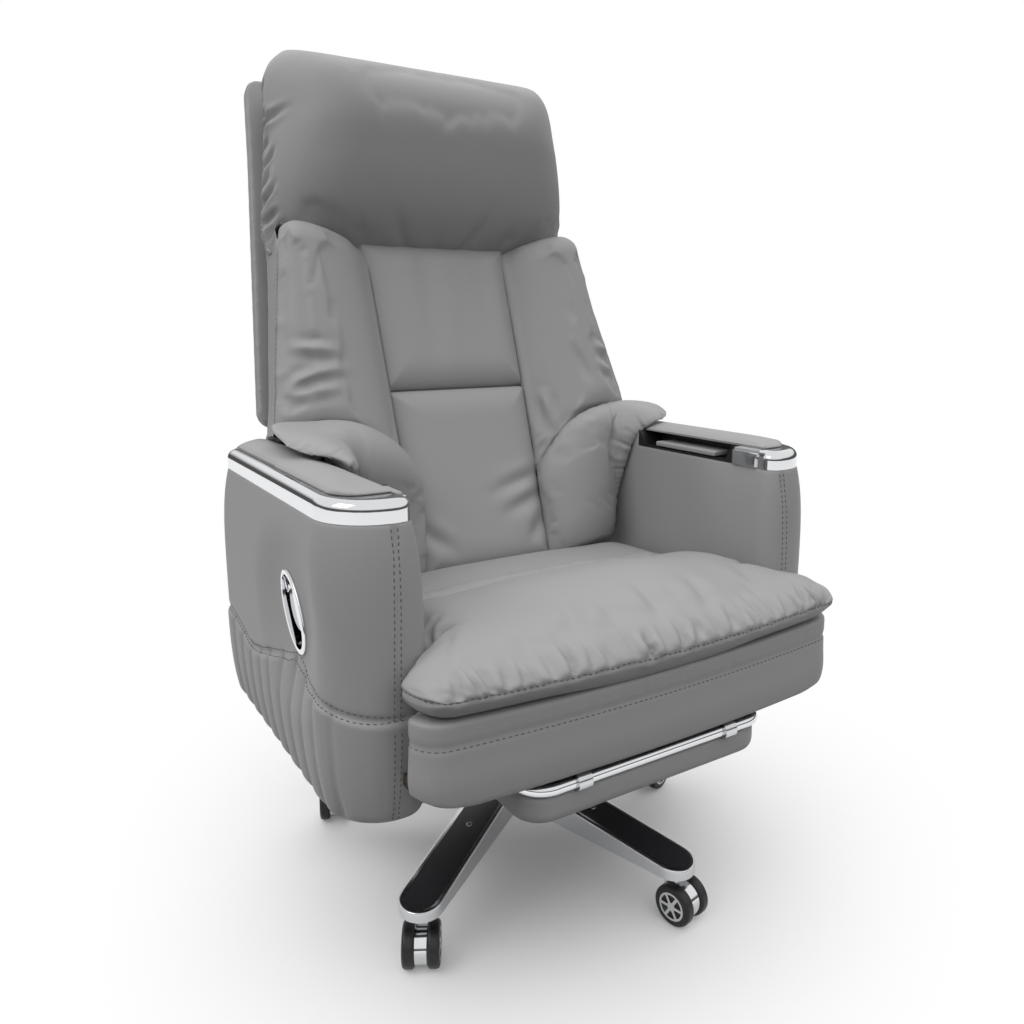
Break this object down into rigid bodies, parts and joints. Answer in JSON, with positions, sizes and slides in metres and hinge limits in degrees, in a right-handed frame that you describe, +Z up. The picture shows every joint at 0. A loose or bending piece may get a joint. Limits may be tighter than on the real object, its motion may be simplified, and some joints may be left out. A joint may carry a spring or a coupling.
{
  "type": "executive recliner chair",
  "caption": "Padded swivel office recliner with wing back, head pillow, chrome-edged arms, fold-out footrest, gas lift and a star base on twin-wheel casters.",
  "frame": {"origin": "on the floor under the swivel column", "axes": "+Z up, the sitter faces -Y, the sitter's left is +X"},
  "size_m": [0.764, 0.8375, 1.2557],
  "materials": {
    "grey_leather": "soft matt grey leather with a fine grain and matching stitching",
    "chrome_trim": "mirror chrome",
    "polished_base": "polished cast aluminium",
    "gloss_black_inlay": "gloss black",
    "caster_nylon": "black nylon with a soft tread",
    "black_plastic": "fine moulded texture",
    "black_steel": "black powder coat",
    "bright_steel": "zinc plated",
    "plywood": "raw plywood"
  },
  "bodies": {
    "base": {"star_base": "polished_base", "leg_covers": "gloss_black_inlay", "leg_cover_screws": "chrome_trim", "gas_lift_outer_tube": "black_steel", "gas_lift_guide_bush": "black_plastic"},
    "caster_1": {"caster_1_hood": "chrome_trim"},
    "caster_1_pair": {"caster_1_wheels": "caster_nylon", "caster_1_hubcaps": "chrome_trim"},
    "caster_2": {"caster_2_hood": "chrome_trim"},
    "caster_2_pair": {"caster_2_wheels": "caster_nylon", "caster_2_hubcaps": "chrome_trim"},
    "caster_3": {"caster_3_hood": "chrome_trim"},
    "caster_3_pair": {"caster_3_wheels": "caster_nylon", "caster_3_hubcaps": "chrome_trim"},
    "caster_4": {"caster_4_hood": "chrome_trim"},
    "caster_4_pair": {"caster_4_wheels": "caster_nylon", "caster_4_hubcaps": "chrome_trim"},
    "caster_5": {"caster_5_hood": "chrome_trim"},
    "caster_5_pair": {"caster_5_wheels": "caster_nylon", "caster_5_hubcaps": "chrome_trim"},
    "gas_piston": {"gas_lift_piston_rod": "bright_steel", "gas_lift_thrust_bearing": "bright_steel"},
    "seat": {"gas_lift_cylinder": "bright_steel", "swivel_plate": "black_steel", "plate_bolts": "bright_steel", "seat_board": "plywood", "seat_box": "grey_leather", "seat_cushion": "grey_leather", "arm_brackets": "black_steel", "arm_bolts": "bright_steel", "arm_body_right": "grey_leather", "arm_body_left": "grey_leather", "arm_trim_right": "chrome_trim", "arm_trim_left": "chrome_trim", "arm_pad_right": "grey_leather", "arm_pad_left": "grey_leather", "arm_pocket_right": "black_plastic", "arm_pocket_left": "black_plastic", "pull_bezel": "chrome_trim", "recliner_seat_plates": "black_steel", "recliner_shaft": "bright_steel", "footrest_rails": "black_steel"},
    "back": {"recliner_back_plates": "black_steel", "back_board": "plywood", "back_shell": "grey_leather", "back_pad_lower": "grey_leather", "back_pad_upper": "grey_leather", "wing_right": "grey_leather", "wing_left": "grey_leather", "lobe_right": "grey_leather", "lobe_left": "grey_leather", "head_pillow": "grey_leather"},
    "footrest_slide": {"footrest_frame": "chrome_trim"},
    "footrest": {"footrest_clips": "bright_steel", "footrest_board": "plywood", "footrest_pad": "grey_leather"},
    "recline_pull": {"pull_paddle": "chrome_trim"},
    "height_lever": {"lift_lever": "black_plastic"}
  },
  "joints": [
    {"name": "caster_1_swivel", "type": "hinge", "parent": "base", "child": "caster_1", "pos_m": [0.30595, -0.00534, 0.071], "axis": [0, 0, 1], "continuous": true},
    {"name": "caster_1_roll", "type": "hinge", "parent": "caster_1", "child": "caster_1_pair", "pos_m": [0.28904, -0.0115, 0.03], "axis": [0.342, -0.9397, 0], "continuous": true},
    {"name": "caster_2_swivel", "type": "hinge", "parent": "base", "child": "caster_2", "pos_m": [0.09962, 0.28933, 0.071], "axis": [0, 0, 1], "continuous": true},
    {"name": "caster_2_roll", "type": "hinge", "parent": "caster_2", "child": "caster_2_pair", "pos_m": [0.09062, 0.30492, 0.03], "axis": [-0.866, -0.5, 0], "continuous": true},
    {"name": "caster_3_swivel", "type": "hinge", "parent": "base", "child": "caster_3", "pos_m": [-0.24438, 0.18416, 0.071], "axis": [0, 0, 1], "continuous": true},
    {"name": "caster_3_roll", "type": "hinge", "parent": "caster_3", "child": "caster_3_pair", "pos_m": [-0.23764, 0.20084, 0.03], "axis": [-0.9272, 0.3746, 0], "continuous": true},
    {"name": "caster_4_swivel", "type": "hinge", "parent": "base", "child": "caster_4", "pos_m": [-0.25066, -0.17551, 0.071], "axis": [0, 0, 1], "continuous": true},
    {"name": "caster_4_roll", "type": "hinge", "parent": "caster_4", "child": "caster_4_pair", "pos_m": [-0.25966, -0.1911, 0.03], "axis": [0.866, -0.5, 0], "continuous": true},
    {"name": "caster_5_swivel", "type": "hinge", "parent": "base", "child": "caster_5", "pos_m": [0.08947, -0.29263, 0.071], "axis": [0, 0, 1], "continuous": true},
    {"name": "caster_5_roll", "type": "hinge", "parent": "caster_5", "child": "caster_5_pair", "pos_m": [0.0929, -0.3103, 0.03], "axis": [0.9816, 0.1908, 0], "continuous": true},
    {"name": "seat_swivel", "type": "hinge", "parent": "base", "child": "gas_piston", "pos_m": [0, 0, 0.07], "axis": [0, 0, 1], "continuous": true},
    {"name": "seat_lift", "type": "slide", "parent": "gas_piston", "child": "seat", "axis": [0, 0, 1], "range_m": [0, 0.08]},
    {"name": "back_recline", "type": "hinge", "parent": "seat", "child": "back", "pos_m": [0, 0.165, 0.385], "axis": [-1, 0, 0], "range_deg": [0, 48]},
    {"name": "footrest_pull_out", "type": "slide", "parent": "seat", "child": "footrest_slide", "axis": [0, -1, 0], "range_m": [0, 0.25]},
    {"name": "footrest_flip", "type": "hinge", "parent": "footrest_slide", "child": "footrest", "pos_m": [0, -0.353, 0.305], "axis": [-1, 0, 0], "range_deg": [0, 180]},
    {"name": "recline_pull_swing", "type": "hinge", "parent": "seat", "child": "recline_pull", "pos_m": [-0.376, -0.08816, 0.51987], "axis": [0, 0.7902, -0.6129], "range_deg": [0, 28], "stiffness_Nm_per_rad": 0.6},
    {"name": "height_lever_lift", "type": "hinge", "parent": "seat", "child": "height_lever", "pos_m": [-0.052, 0.03, 0.286], "axis": [0, 1, 0], "range_deg": [0, 6], "stiffness_Nm_per_rad": 4, "springref_deg": -2.86}
  ]
}
